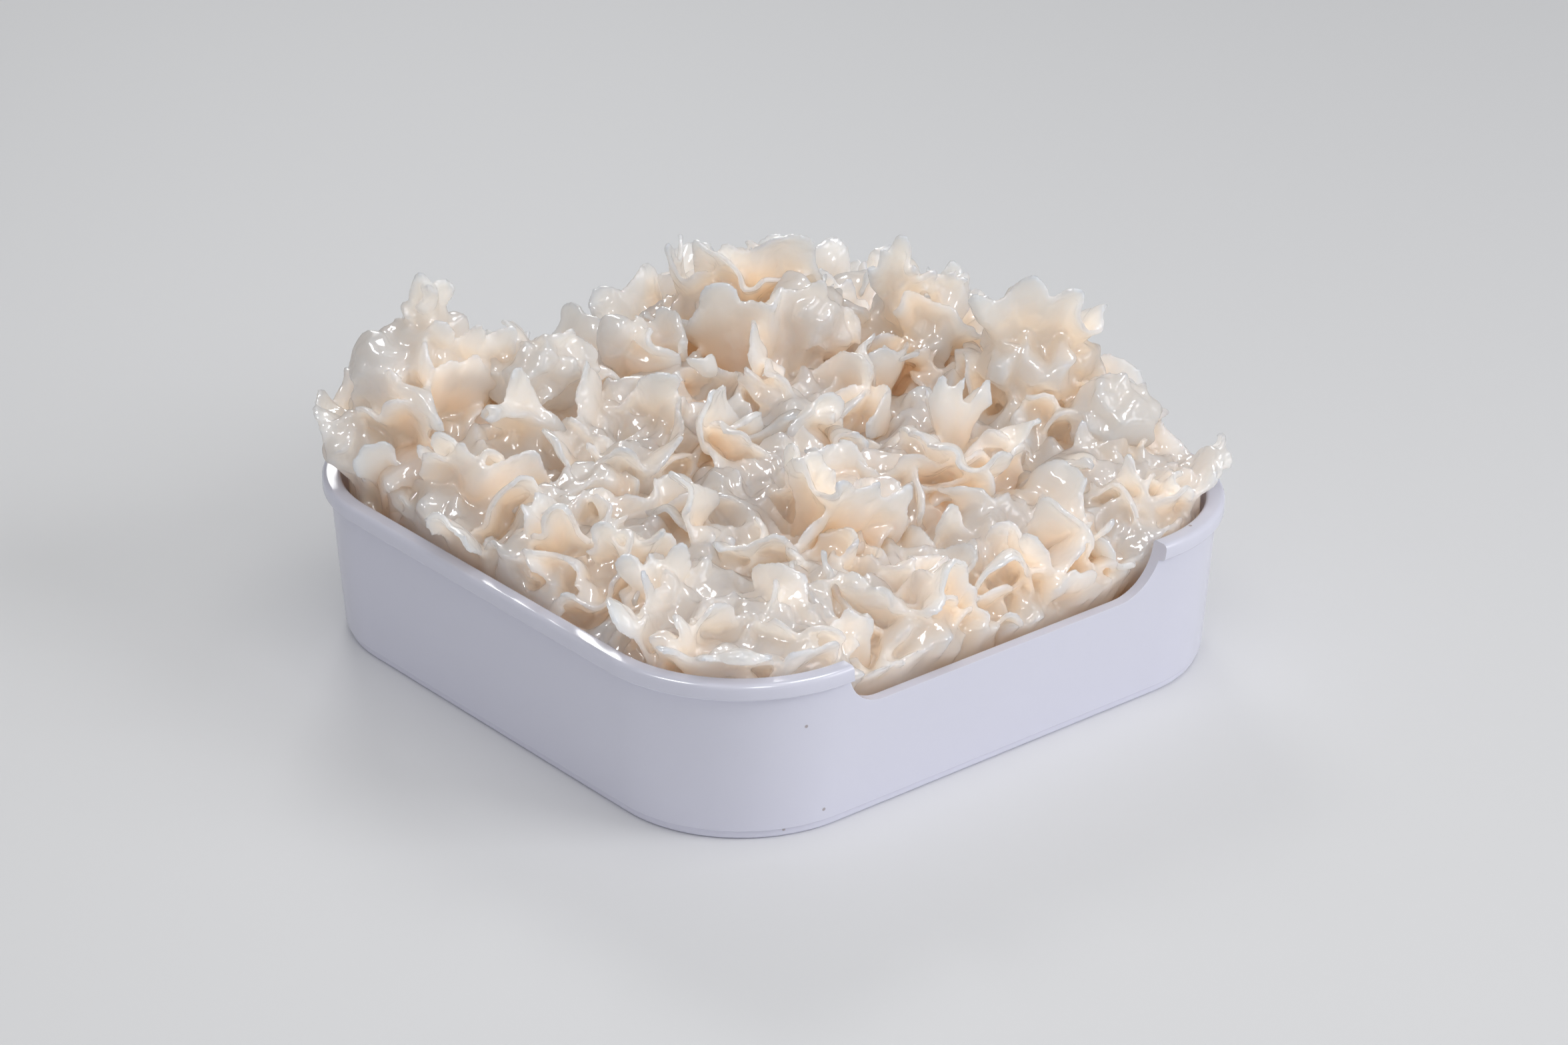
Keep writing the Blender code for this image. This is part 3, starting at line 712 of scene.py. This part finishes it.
def knob_piece(knob, index):
    """One crumpled knob of flesh."""
    _, kx, ky, kz, across, along, up = knob
    polar = np.linspace(0.03, math.pi - 0.03, KNOB_RINGS)
    around = np.linspace(0.0, 2.0 * math.pi, KNOB_SECTORS, endpoint=False)
    unit = np.stack([np.sin(polar)[:, None] * np.cos(around),
                     np.sin(polar)[:, None] * np.sin(around),
                     np.repeat(np.cos(polar)[:, None], KNOB_SECTORS, axis=1)], axis=2).reshape(-1, 3)
    turn = math.radians(KNOB_TURN)
    spin = np.array([[math.cos(turn), math.sin(turn), 0.0],
                     [-math.sin(turn), math.cos(turn), 0.0],
                     [0.0, 0.0, 1.0]])
    points = (unit * np.array([across, along, up])) @ spin + np.array([kx, ky, kz])
    share = np.full(len(points), min(1.0, across / KNOB_FULL_SIZE) ** 1.4)
    points = crumple(points, unit @ spin, share)
    points = points - (unit @ spin) * KNOB_SINK
    points = press(points, index, KNOB_OVERLAP)
    return points, ring_faces(KNOB_RINGS, KNOB_SECTORS, clockwise=True)


def mesh_object(name, points, faces):
    """New object from points in millimetres."""
    mesh = bpy.data.meshes.new(name)
    mesh.from_pydata((np.asarray(points) * MM).tolist(), [], [tuple(map(int, face)) for face in faces])
    mesh.update()
    item = bpy.data.objects.new(name, mesh)
    bpy.context.scene.collection.objects.link(item)
    return item


def flesh_pieces(index, wall_specs):
    """All of one floret's raw pieces: mass, knobs, fronds, frills and lamellae."""
    name = FLORETS[index][0]
    pieces = [mass_piece(index)]
    pieces += [knob_piece(knob, index) for knob in KNOBS if knob[0] == name]
    jobs = [(spec, MAIN_COLUMNS, MAIN_ROWS) for spec in frond_specs(index)]
    jobs += [(spec, FRILL_COLUMNS, FRILL_ROWS) for spec in frill_specs(index) + wall_specs]
    jobs += [(spec, RIBBON_COLUMNS, RIBBON_ROWS) for spec in ribbon_specs(index)]
    pieces += [frond_piece(spec, index, columns, rows) for spec, columns, rows in jobs]
    return pieces


def evaluated_mesh(item):
    """An object's mesh with its modifiers applied."""
    graph = bpy.context.evaluated_depsgraph_get()
    return bpy.data.meshes.new_from_object(item.evaluated_get(graph))


def largest_body(count, edges):
    """Which points belong to the body with the most points."""
    label = np.arange(count)
    while True:
        lower = label.copy()
        least = np.minimum(label[edges[:, 0]], label[edges[:, 1]])
        np.minimum.at(lower, edges[:, 0], least)
        np.minimum.at(lower, edges[:, 1], least)
        lower = lower[lower]
        if np.array_equal(lower, label):
            break
        label = lower
    return label == np.bincount(label).argmax()


def wrapped_mesh(pieces):
    """Mesh of one even skin of quads round raw pieces that cut into each other."""
    points = np.concatenate([piece[0] for piece in pieces])
    faces = []
    start = 0
    for piece_points, piece_faces in pieces:
        faces += [tuple(int(corner) + start for corner in face) for face in piece_faces]
        start += len(piece_points)
    raw = mesh_object("raw", points, faces)
    skin = raw.modifiers.new("skin", "REMESH")
    skin.mode = "VOXEL"
    skin.voxel_size = SKIN_VOXEL * MM
    mesh = evaluated_mesh(raw)
    bpy.data.objects.remove(raw, do_unlink=True)
    return mesh


def mesh_arrays(mesh):
    """Points in millimetres, edges and quads of a mesh of quads."""
    points = np.empty(len(mesh.vertices) * 3)
    mesh.vertices.foreach_get("co", points)
    edges = np.empty(len(mesh.edges) * 2, dtype=int)
    mesh.edges.foreach_get("vertices", edges)
    corners = np.empty(len(mesh.loops), dtype=int)
    mesh.loops.foreach_get("vertex_index", corners)
    return points.reshape(-1, 3) / MM, edges.reshape(-1, 2), corners.reshape(-1, 4)


class Skin:
    """One closed skin round all of a floret's raw pieces, with its painted rim light."""

    def __init__(self, pieces):
        mesh = wrapped_mesh(pieces)
        points, edges, quads = mesh_arrays(mesh)
        bpy.data.meshes.remove(mesh)
        kept = largest_body(len(points), edges)
        place = np.cumsum(kept) - 1
        self.points = points[kept]
        self.edges = place[edges[kept[edges[:, 0]]]]
        self.quads = place[quads[kept[quads[:, 0]]]]
        for _ in range(SKIN_ROUNDS):
            for share in (0.5, -0.53):
                self.points += share * (self.average(self.points) - self.points)
        # Strength of the painted rim light at each point
        self.rim = self.painted_rim_light()

    def average(self, values):
        """Mean of each point's neighbours."""
        count = len(values)
        a, b = self.edges.T
        near = np.bincount(a, minlength=count) + np.bincount(b, minlength=count)
        sums = [np.bincount(a, column[b], count) + np.bincount(b, column[a], count)
                for column in values.reshape(count, -1).T]
        return (np.stack(sums, axis=1) / near[:, None]).reshape(values.shape)

    def painted_rim_light(self):
        """How sharply the skin bulges, near one along the fronds' thin edges: where pale blue-white rim
        light is painted.
        """
        corners = self.points[self.quads]
        cross = np.cross(corners[:, 2] - corners[:, 0], corners[:, 3] - corners[:, 1])
        count = len(self.points)
        normal = np.stack([sum(np.bincount(self.quads[:, k], cross[:, axis], count) for k in range(4))
                           for axis in range(3)], axis=1)
        normal /= np.maximum(np.linalg.norm(normal, axis=1, keepdims=True), 1e-12)
        bulge = np.einsum("ij,ij->i", self.points - self.average(self.points), normal) / SKIN_VOXEL
        sharp = smooth_step(0.06, 0.26, bulge)
        sharp = sharp * np.clip(0.5 + 0.5 * PATCH.value(self.points), 0.1, 1.0)
        wide = sharp
        for _ in range(5):
            wide = self.average(wide)
        return np.clip(0.5 * self.average(sharp) + 1.2 * wide, 0.0, 1.0)


class Cover:
    """How many layers of flesh lie over a point, counted on a coarse grid, which sets the painted shade.
    """

    cell = 2.5
    low = np.array([-90.0, -90.0, 0.0])
    counts = (72, 72, 36)

    def __init__(self, skins):
        grid = np.zeros(self.counts)
        for skin in skins:
            corners = skin.points[skin.quads]
            area = 0.5 * np.linalg.norm(np.cross(corners[:, 2] - corners[:, 0],
                                                 corners[:, 3] - corners[:, 1]), axis=1)
            cell = self.cells(corners.mean(axis=1))
            np.add.at(grid, (cell[:, 0], cell[:, 1], cell[:, 2]), area)
        for axis in (0, 1):
            grid = sum(np.roll(grid, shift, axis=axis) * weight
                       for shift, weight in ((-2, 0.1), (-1, 0.2), (0, 0.4), (1, 0.2), (2, 0.1)))
        layers = grid / (2.0 * self.cell ** 2)
        above = np.cumsum(layers[:, :, ::-1], axis=2)[:, :, ::-1]
        self.above = above - 0.5 * layers

    def cells(self, points):
        """Grid cell of each point."""
        cell = ((points - self.low) / self.cell).astype(int)
        return np.clip(cell, 0, np.array(self.counts) - 1)

    def over(self, points):
        """Smoothly read the layer count at points."""
        place = (points - self.low) / self.cell - 0.5
        base = np.floor(place).astype(int)
        part = place - base
        total = 0.0
        for corner in range(8):
            step = np.array([corner & 1, corner >> 1 & 1, corner >> 2 & 1])
            weight = np.prod(np.where(step, part, 1.0 - part), axis=1)
            cell = np.clip(base + step, 0, np.array(self.counts) - 1)
            total = total + weight * self.above[cell[:, 0], cell[:, 1], cell[:, 2]]
        return total


def make_floret(index, skin, cover, share, material):
    """One floret's visible piece, with painted rim light on sharp edges and painted shade by depth."""
    name = FLORETS[index][0]
    item = mesh_object("fungus_" + name, skin.points, skin.quads.tolist())
    # Painted shade: the more layers of flesh over a point, the warmer and darker its colour
    depth = 1.0 - np.exp(-np.maximum(cover.over(skin.points) - 0.6, 0.0) / COVER_LAYERS)
    painted_light_tone = item.data.attributes.new("painted_light_tone", "FLOAT_COLOR", "POINT")
    # Red holds the painted rim light, green the painted shade
    values = np.stack([skin.rim, depth, np.zeros(len(depth)), np.ones(len(depth))], axis=1)
    painted_light_tone.data.foreach_set("color", values.astype(np.float32).ravel())
    if share < 1.0:
        thin = item.modifiers.new("thin", "DECIMATE")
        thin.ratio = share
        item.data = evaluated_mesh(item)
        item.modifiers.clear()
    item.data.shade_smooth()
    item.data.materials.append(material)
    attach(item, "root")
    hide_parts("floret_" + name)


def socket(node, name, value):
    """Set the value of a node's own input."""
    node.inputs[name].default_value = value


def new_material(name):
    """New material and its main shader node."""
    material = bpy.data.materials.new(name)
    material.use_nodes = True
    return material, material.node_tree.nodes["Principled BSDF"]


def noise(material, place, scale, detail):
    """Noise texture in a material, in object coordinates."""
    texture = material.node_tree.nodes.new("ShaderNodeTexNoise")
    socket(texture, "Scale", scale)
    socket(texture, "Detail", detail)
    material.node_tree.links.new(place.outputs["Object"], texture.inputs["Vector"])
    return texture


def bump(material, texture, strength, distance):
    """Bump node in a material, driven by a noise texture."""
    node = material.node_tree.nodes.new("ShaderNodeBump")
    socket(node, "Strength", strength)
    socket(node, "Distance", distance)
    material.node_tree.links.new(texture.outputs["Fac"], node.inputs["Height"])
    return node


def flesh_colour(material):
    """Output of the flesh's colour: painted shade by depth first, then painted rim light by how sharp
    the rim is.
    """
    nodes = material.node_tree.nodes
    links = material.node_tree.links
    painted_light_tone = nodes.new("ShaderNodeAttribute")
    painted_light_tone.attribute_name = "painted_light_tone"
    split = nodes.new("ShaderNodeSeparateColor")
    links.new(painted_light_tone.outputs["Color"], split.inputs["Color"])
    # Painted shade: from the gel's own colour to a darker peach under more layers
    painted_shade_ramp = nodes.new("ShaderNodeValToRGB")
    ramp = painted_shade_ramp.color_ramp
    ramp.elements[0].position = 0.05
    ramp.elements[0].color = FLESH_SHALLOW
    ramp.elements[1].position = 0.95
    ramp.elements[1].color = FLESH_PAINTED_SHADE_DEEP
    middle = ramp.elements.new(0.45)
    middle.color = FLESH_PAINTED_SHADE_MIDDLE
    links.new(split.outputs["Green"], painted_shade_ramp.inputs["Fac"])
    # Painted rim light: pale blue-white on sharp thin edges
    painted_rim_light_mix = nodes.new("ShaderNodeMix")
    painted_rim_light_mix.data_type = "RGBA"
    socket(painted_rim_light_mix, "B", PAINTED_RIM_LIGHT_COLOUR)
    links.new(split.outputs["Red"], painted_rim_light_mix.inputs["Factor"])
    links.new(painted_shade_ramp.outputs["Color"], painted_rim_light_mix.inputs["A"])
    return painted_rim_light_mix.outputs["Result"]


def flesh_material():
    """Wet, cloudy gel, coloured with painted light: pale blue-white painted rim light at thin edges,
    peach painted shade in the depths.
    """
    material, shader = new_material("wet_flesh")
    nodes = material.node_tree.nodes
    links = material.node_tree.links
    colour = flesh_colour(material)
    links.new(colour, shader.inputs["Base Color"])
    place = nodes.new("ShaderNodeTexCoord")
    soft = bump(material, noise(material, place, 300.0, 1.5), 0.35, 0.0006)
    wet = bump(material, noise(material, place, 320.0, 1.5), 1.0, 0.0005)
    links.new(soft.outputs["Normal"], shader.inputs["Normal"])
    links.new(wet.outputs["Normal"], shader.inputs["Coat Normal"])
    through = nodes.new("ShaderNodeBsdfTranslucent")
    links.new(colour, through.inputs["Color"])
    blend = nodes.new("ShaderNodeMixShader")
    socket(blend, "Fac", LIGHT_THROUGH)
    links.new(shader.outputs["BSDF"], blend.inputs[1])
    links.new(through.outputs["BSDF"], blend.inputs[2])
    links.new(blend.outputs["Shader"], nodes["Material Output"].inputs["Surface"])
    shader.subsurface_method = "BURLEY"
    socket(shader, "Roughness", 0.4)
    socket(shader, "IOR", 1.36)
    socket(shader, "Subsurface Weight", 1.0)
    socket(shader, "Subsurface Radius", (1.0, 0.75, 0.55))
    socket(shader, "Subsurface Scale", 0.010)
    socket(shader, "Coat Weight", 1.0)
    socket(shader, "Coat Roughness", 0.07)
    socket(shader, "Coat IOR", 1.6)
    return material


def rounded_square(half, z, steps):
    """Corner points of a rounded square, anticlockwise from above."""
    radius = half - CORNER_CENTRE
    points = []
    for quarter in range(4):
        cx = CORNER_CENTRE * (1, -1, -1, 1)[quarter]
        cy = CORNER_CENTRE * (1, 1, -1, -1)[quarter]
        for step in range(steps + 1):
            angle = 0.5 * math.pi * (quarter + step / steps)
            points.append((cx + radius * math.cos(angle), cy + radius * math.sin(angle), z))
    return points


def arc(cx, cz, radius, start, end, steps):
    """Points of a profile's rounded corner, angles in degrees."""
    points = []
    for step in range(steps + 1):
        angle = math.radians(start + (end - start) * step / steps)
        points.append((cx + radius * math.cos(angle), cz + radius * math.sin(angle)))
    return points


def tray_profile():
    """Half width and height round the tray's section, outside then inside."""
    profile = arc(FOOT_HALF - 1.0, 1.0, 1.0, -90.0, 0.0, 4)
    profile += [(FOOT_HALF, 1.9)]
    profile += arc(WALL_HALF_BOTTOM - 0.3, 2.5, 0.3, -80.0, 0.0, 3)
    profile += [(WALL_HALF_MIDDLE, 18.0), (WALL_HALF_TOP - 0.05, LIP_UNDERSIDE - 0.4)]
    profile += [(WALL_HALF_TOP + 0.35, LIP_UNDERSIDE - 0.05)]
    profile += arc(LIP_HALF - 0.6, LIP_UNDERSIDE + 0.6, 0.6, -90.0, 0.0, 4)
    profile += arc(LIP_HALF - 1.2, TRAY_HEIGHT - 1.2, 1.2, 0.0, 90.0, 6)
    profile += arc(INNER_HALF_TOP + 0.9, TRAY_HEIGHT - 0.9, 0.9, 90.0, 180.0, 5)
    profile += [(INNER_HALF_MIDDLE, 20.0)]
    profile += arc(INNER_HALF_BOTTOM - 3.2, FLOOR_TOP + 3.2, 3.2, 0.0, -90.0, 6)
    return profile


def notch_outline():
    """The cut in the -Y wall seen from the front: x and z."""
    outline = [(NOTCH_LEFT, TRAY_HEIGHT + 5.0)]
    outline += arc(NOTCH_LEFT + NOTCH_LEFT_RADIUS, NOTCH_BOTTOM + NOTCH_LEFT_RADIUS,
                   NOTCH_LEFT_RADIUS, 180.0, 270.0, 12)
    outline += arc(NOTCH_RIGHT - NOTCH_RIGHT_RADIUS, NOTCH_BOTTOM + NOTCH_RIGHT_RADIUS,
                   NOTCH_RIGHT_RADIUS, 270.0, 360.0, 14)
    outline.append((NOTCH_RIGHT, TRAY_HEIGHT + 5.0))
    return outline


def uncut_tray():
    """Tray whose wall is equally high all round."""
    points = []
    profile = tray_profile()
    for half, z in profile:
        points += rounded_square(half, z, TRAY_CORNER_STEPS)
    faces = ring_faces(len(profile), 4 * (TRAY_CORNER_STEPS + 1))
    return mesh_object("tray_moulding", points, faces)


def notch_cutter():
    """Block that reaches through the -Y wall, in the shape of the notch."""
    outline = notch_outline()
    points = [(x, y, z) for y in (-95.0, -70.0) for x, z in outline]
    return mesh_object("notch_cutter", points, ring_faces(2, len(outline), clockwise=True))


def make_tray(material):
    """Moulded tray with its rolled lip, foot step and cut-down side."""
    tray = uncut_tray()
    cutter = notch_cutter()
    cut = tray.modifiers.new("cut", "BOOLEAN")
    cut.operation = "DIFFERENCE"
    cut.solver = "EXACT"
    cut.object = cutter
    mesh = evaluated_mesh(tray)
    tray.modifiers.clear()
    tray.data = mesh
    bpy.data.objects.remove(cutter, do_unlink=True)
    tray.data.materials.clear()
    tray.data.materials.append(material)
    tray.data.shade_smooth()
    tray.data.set_sharp_from_angle(angle=math.radians(38.0))
    soften = tray.modifiers.new("soften", "BEVEL")
    soften.width = 0.35 * MM
    soften.segments = 3
    soften.limit_method = "ANGLE"
    soften.angle_limit = math.radians(50.0)
    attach(tray, "root")
    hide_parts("tray")


def tray_material():
    """Glossy white plastic with a lavender cast, a soft sag and a few dark specks."""
    material, shader = new_material("moulded_plastic")
    nodes = material.node_tree.nodes
    links = material.node_tree.links
    socket(shader, "Roughness", 0.22)
    socket(shader, "Subsurface Weight", 0.15)
    socket(shader, "Subsurface Radius", (1.0, 1.0, 1.0))
    socket(shader, "Subsurface Scale", 0.001)
    place = nodes.new("ShaderNodeTexCoord")
    grit = nodes.new("ShaderNodeTexVoronoi")
    socket(grit, "Scale", 90.0)
    links.new(place.outputs["Object"], grit.inputs["Vector"])
    specks = nodes.new("ShaderNodeValToRGB")
    specks.color_ramp.elements[0].position = 0.025
    specks.color_ramp.elements[0].color = SPECK_COLOUR
    specks.color_ramp.elements[1].position = 0.045
    specks.color_ramp.elements[1].color = TRAY_COLOUR
    links.new(grit.outputs["Distance"], specks.inputs["Fac"])
    links.new(specks.outputs["Color"], shader.inputs["Base Color"])
    sag = bump(material, noise(material, place, 22.0, 1.0), 0.25, 0.002)
    links.new(sag.outputs["Normal"], shader.inputs["Normal"])
    return material


def make_floor():
    """Plain pale floor that the tray stands on."""
    half = 1500.0
    points = [(-half, -half, 0.0), (half, -half, 0.0), (half, half, 0.0), (-half, half, 0.0)]
    floor = mesh_object("floor", points, [(0, 1, 2, 3)])
    material, shader = new_material("floor")
    socket(shader, "Base Color", (0.80, 0.80, 0.81, 1.0))
    socket(shader, "Roughness", 0.7)
    floor.data.materials.append(material)


def area_light(name, place, aim, size, power, colour, gloss_only=False):
    """Rectangular light, which can be kept to highlights alone."""
    light = bpy.data.lights.new(name, "AREA")
    light.shape = "RECTANGLE"
    light.size, light.size_y = size
    light.energy = power
    light.color = colour
    item = bpy.data.objects.new(name, light)
    item.location = place
    item.rotation_euler = (Vector(aim) - Vector(place)).to_track_quat("-Z", "Y").to_euler()
    if gloss_only:
        item.visible_diffuse = False
        item.visible_transmission = False
    bpy.context.scene.collection.objects.link(item)


def make_lights():
    """Soft studio lights, small lights for the wet highlights, and a pale room."""
    target = (0.0, 0.0, 0.04)
    area_light("window", (-0.15, -0.35, 1.15), target, (1.1, 0.9), 3.7, (1.0, 0.99, 0.98))
    area_light("front", (-0.75, -0.95, 0.85), target, (0.9, 0.7), 1.0, (1.0, 0.99, 0.98))
    area_light("front_right", (0.75, -1.1, 0.75), target, (0.7, 0.6), 7.6, (0.97, 0.98, 1.0))
    area_light("spark_left", (-0.7, 0.1, 1.0), target, (0.34, 0.2), 9.0, (0.97, 0.98, 1.0), True)
    area_light("spark_right", (0.35, -0.3, 1.1), target, (0.34, 0.2), 9.0, (1.0, 1.0, 1.0), True)
    area_light("spark_front", (-0.4, -0.8, 0.9), target, (0.2, 0.12), 4.5, (1.0, 1.0, 1.0), True)
    area_light("spark_back", (0.5, 0.9, 0.7), target, (0.34, 0.2), 9.0, (1.0, 1.0, 1.0), True)
    world = bpy.data.worlds.new("room")
    bpy.context.scene.world = world
    world.use_nodes = True
    back = world.node_tree.nodes["Background"]
    socket(back, "Color", (0.96, 0.98, 1.0, 1.0))
    socket(back, "Strength", 0.36)


def make_camera():
    """The photograph's view: near corner in front, a little above."""
    azimuth = math.radians(-39.6)
    elevation = math.radians(25.8)
    distance = 1.090
    target = Vector((0.0128, 0.0110, 0.0190))
    back = Vector((math.sin(azimuth) * math.cos(elevation),
                   -math.cos(azimuth) * math.cos(elevation),
                   math.sin(elevation)))
    lens = bpy.data.cameras.new("camera")
    lens.lens = 110.0
    lens.sensor_width = 36.0
    lens.clip_start = 0.05
    camera = bpy.data.objects.new("camera", lens)
    camera.location = target + back * distance
    camera.rotation_euler = (-back).to_track_quat("-Z", "Y").to_euler()
    bpy.context.scene.collection.objects.link(camera)
    bpy.context.scene.camera = camera


def main():
    """The whole scene: camera, lights, floor, tray and florets."""
    make_camera()
    make_lights()
    make_floor()
    make_tray(tray_material())
    material = flesh_material()
    wall_specs = wall_frill_specs()
    skins = [Skin(flesh_pieces(index, wall_specs[index])) for index in range(len(FLORETS))]
    cover = Cover(skins)
    triangles = 2 * sum(len(skin.quads) for skin in skins)
    for index, skin in enumerate(skins):
        make_floret(index, skin, cover, min(1.0, TRIANGLE_LIMIT / triangles), material)
    scene = bpy.context.scene
    scene.view_settings.view_transform = "Standard"
    scene.cycles.max_bounces = 16
    scene.cycles.diffuse_bounces = 12
    scene.cycles.transmission_bounces = 12


main()
